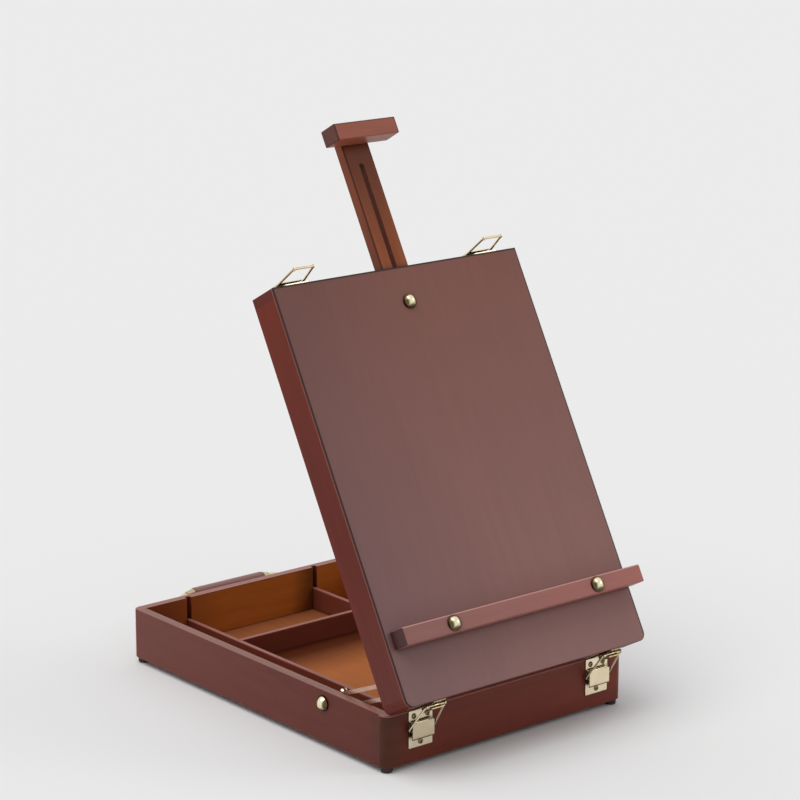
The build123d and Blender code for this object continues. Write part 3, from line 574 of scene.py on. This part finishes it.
# ---- the fittings --------------------------------------------------------------------
brass = plated_brass("pale_brass", srgb(232, 216, 184))
plate_brass = plated_brass(
    "plate_brass", srgb(250, 236, 205),
    drift=Band(X_AXIS, LATCH_RIGHT_X, LATCH_LEFT_X, (0.84, 0.84, 0.84)),
)
# Its lower edge takes painted shade.
lever_brass = plated_brass(
    "lever_brass", srgb(240, 224, 190), hem=(26.6 * MM, 27.7 * MM),
    drift=Band(X_AXIS, LATCH_RIGHT_X, LATCH_LEFT_X, (0.72, 0.72, 0.72)),
)
washer_brass = plated_brass("washer_brass", srgb(92, 76, 48), roughness=0.22, shadow=2 * MM)
ferrule_brass = plated_brass("ferrule_brass", srgb(206, 186, 146), roughness=0.22, shadow=3 * MM)
catch_brass = plated_brass("catch_brass", srgb(150, 132, 96), shadow=3 * MM)
wire_brass = plated_brass("wire_brass", srgb(206, 180, 128), roughness=0.14, shadow=2 * MM)
stay_brass = plated_brass("stay_brass", srgb(204, 168, 150), roughness=0.26, shadow=2 * MM)
screw_brass = plated_brass("screw_brass", srgb(132, 114, 74), roughness=0.14, shadow=1.2 * MM)
sleeve_brass = plated_brass("sleeve_brass", srgb(224, 208, 172), roughness=0.14, shadow=1.2 * MM)
rubber = dark_rubber("dark_rubber")
leather = leather_grip("leather_grip")


def dome_brass(node, axis, flank, down):
    return plated_brass(
        node + "_brass", srgb(252, 240, 200), roughness=0.10, shadow=1.6 * MM,
        dome=Dome(node, axis, flank, down),
    )


MATERIALS = {
    "front_wall": front_wood,
    "back_wall": back_wood,
    "left_wall": side_wood,
    "right_wall": side_wood,
    "bottom_panel": plywood,
    "cross_divider": cross_divider_wood,
    "long_divider": deep_divider_wood,
    "short_divider": deep_divider_wood,
    "feet": rubber,
    "lid_board": board_wood,
    "lid_left_rail": side_rail_wood,
    "lid_right_rail": side_rail_wood,
    "lid_top_rail": cross_rail_wood,
    "lid_bottom_rail": cross_rail_wood,
    "ledge": ledge_wood,
    "mast_bar": mast_wood,
    "mast_block": block_wood,
    "handle_grip": leather,
    "handle_ferrules": ferrule_brass,
    "ledge_bolts": dome_brass("ledge_bolts", LID_OUT, X_AXIS, -LID_UP),
    "mast_bolt": dome_brass("mast_bolt", LID_OUT, X_AXIS, -LID_UP),
    "left_stay_bolt": dome_brass("left_stay_bolt", LEFTWARD, Y_AXIS, DOWNWARD),
    "right_stay_bolt": dome_brass("right_stay_bolt", X_AXIS, Y_AXIS, DOWNWARD),
    "left_stay": stay_brass,
    "right_stay": stay_brass,
    "left_front_latch_base": plate_brass,
    "right_front_latch_base": plate_brass,
    "left_front_lever": lever_brass,
    "right_front_lever": lever_brass,
    "left_lid_loop": wire_brass,
    "right_lid_loop": wire_brass,
    "lid_catches": catch_brass,
    "lid_washers": washer_brass,
    "stay_washers": washer_brass,
}
for node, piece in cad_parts.items():
    other = screw_brass if "screws" in node else brass
    piece.data.materials.clear()
    piece.data.materials.append(MATERIALS.get(node, other))


# ---- barrels on the latch loops ------------------------------------------------------
RING_STEPS = 28
SHARP_ANGLE = radians(40)
# Distance from the middle and radius, in millimetres, from one end's knob to the barrel.
KNOB_PROFILE = (
    (10.6, 0.92), (10.6, 1.45), (10.3, 1.75), (9.8, 1.75), (9.5, 1.45), (9.4, 1.15), (9.1, 1.15),
)
BARREL_END = 8.9
# Barrels thin enough to clear the catches with the lid shut, as radii in millimetres.
FRONT_BARREL, LID_BARREL = 1.3, 1.0
# How far a point of the wire may be from its widest, its farthest and its innermost place.
ELBOW_DEPTH, WIRE_DEPTH, BAR_CENTRE = 0.5 * MM, 1.9 * MM, 0.2 * MM


def bar_middle(loop):
    """The middle of a loop's far bar, read from the points of its wire."""
    points = [vertex.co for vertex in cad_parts[loop].data.vertices]
    middle_x = (min(point.x for point in points) + max(point.x for point in points)) / 2
    widest = max(abs(point.x - middle_x) for point in points)
    elbows = [point for point in points if abs(point.x - middle_x) > widest - ELBOW_DEPTH]
    pivot = sum(elbows, Vector()) / len(elbows)

    def from_pivot(point):
        return Vector((0, point.y - pivot.y, point.z - pivot.z)).length

    farthest = max(map(from_pivot, points))
    bar = [point for point in points if from_pivot(point) > farthest - WIRE_DEPTH]
    innermost = min(abs(point.x - middle_x) for point in bar)
    bar = [point for point in bar if abs(point.x - middle_x) < innermost + BAR_CENTRE]
    middle_y = sum(point.y for point in bar) / len(bar)
    middle_z = sum(point.z for point in bar) / len(bar)
    return Vector((middle_x, middle_y, middle_z))


def make_sleeve(name, loop, barrel):
    """A barrel with a grooved knob at each end, turned round the loop's bar."""
    middle = bar_middle(loop)
    left = [(-place, radius) for place, radius in (*KNOB_PROFILE, (BARREL_END, barrel))]
    right = [(-place, radius) for place, radius in reversed(left)]
    angles = [2 * pi * step / RING_STEPS for step in range(RING_STEPS)]
    build = bmesh.new()
    rings = [
        [
            build.verts.new(middle + Vector((place, radius * cos(angle), radius * sin(angle))) * MM)
            for angle in angles
        ]
        for place, radius in left + right
    ]
    for first, second in zip(rings, rings[1:]):
        for step in range(RING_STEPS):
            after = (step + 1) % RING_STEPS
            face = build.faces.new((first[step], first[after], second[after], second[step]))
            face.smooth = True
    bmesh.ops.recalc_face_normals(build, faces=build.faces)
    mesh = bpy.data.meshes.new(name)
    build.to_mesh(mesh)
    build.free()
    mesh.materials.append(sleeve_brass)
    mesh.set_sharp_from_angle(angle=SHARP_ANGLE)
    sleeve = bpy.data.objects.new(name, mesh)
    bpy.context.scene.collection.objects.link(sleeve)
    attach(sleeve, loop)


for side in ("left", "right"):
    make_sleeve(side + "_front_sleeve", side + "_front_loop", FRONT_BARREL)
    make_sleeve(side + "_lid_sleeve", side + "_lid_loop", LID_BARREL)


# ---- floor, backdrop and light -------------------------------------------------------
BACKDROP = srgb(235, 235, 235)
FLOOR_SIZE = 12.0
# Soft light from all round, a little stronger from behind and the left.
SKY_LEVEL = 0.76
SKY_LEAN = Vector((-0.15, 0.20, 0.0))
# Broad lamps far away: towards each one, how wide it looks in degrees, and its strength.
LAMPS = {
    "key": (Vector((-0.40, 0.06, 0.90)), 50, 1.15),
    "fill": (Vector((0.62, -0.61, 0.50)), 22, 0.25),
}


def make_floor():
    mesh = bpy.data.meshes.new("floor")
    build = bmesh.new()
    bmesh.ops.create_grid(build, x_segments=1, y_segments=1, size=FLOOR_SIZE)
    build.to_mesh(mesh)
    build.free()
    n = Nodes(bpy.data.materials.new("pale_floor"))
    n.set("Base Color", BACKDROP)
    n.set("Roughness", 0.9)
    n.set("Specular IOR Level", 0.0)
    mesh.materials.append(n.owner)
    floor = bpy.data.objects.new("floor", mesh)
    bpy.context.scene.collection.objects.link(floor)


def make_world():
    """A pale backdrop for the camera and for reflections, and soft light from all round."""
    world = bpy.data.worlds.new("studio")
    n = Nodes(world, "Background")
    towards = n.add("TexCoord").outputs["Generated"]
    level = n.math("ADD", n.dot(towards, SKY_LEAN * SKY_LEVEL), SKY_LEVEL)
    path = n.add("LightPath").outputs
    seen = n.math("MAXIMUM", path["Is Camera Ray"], path["Is Glossy Ray"])
    seen = n.math("MAXIMUM", seen, path["Is Transmission Ray"])
    strength = n.add("Mix", data_type="FLOAT")
    n.feed((strength.inputs[0], strength.inputs[2], strength.inputs[3]), (seen, level, 1.0))
    n.drive("Strength", strength.outputs[0])
    n.set("Color", BACKDROP)
    bpy.context.scene.world = world


def make_lamps():
    for name, (towards, width, strength) in LAMPS.items():
        data = bpy.data.lights.new(name, "SUN")
        data.angle = radians(width)
        data.energy = strength
        lamp = bpy.data.objects.new(name, data)
        lamp.rotation_euler = (-towards).to_track_quat("-Z", "Y").to_euler()
        bpy.context.scene.collection.objects.link(lamp)


make_camera()
make_floor()
make_world()
make_lamps()
bpy.context.scene.view_settings.view_transform = "Standard"
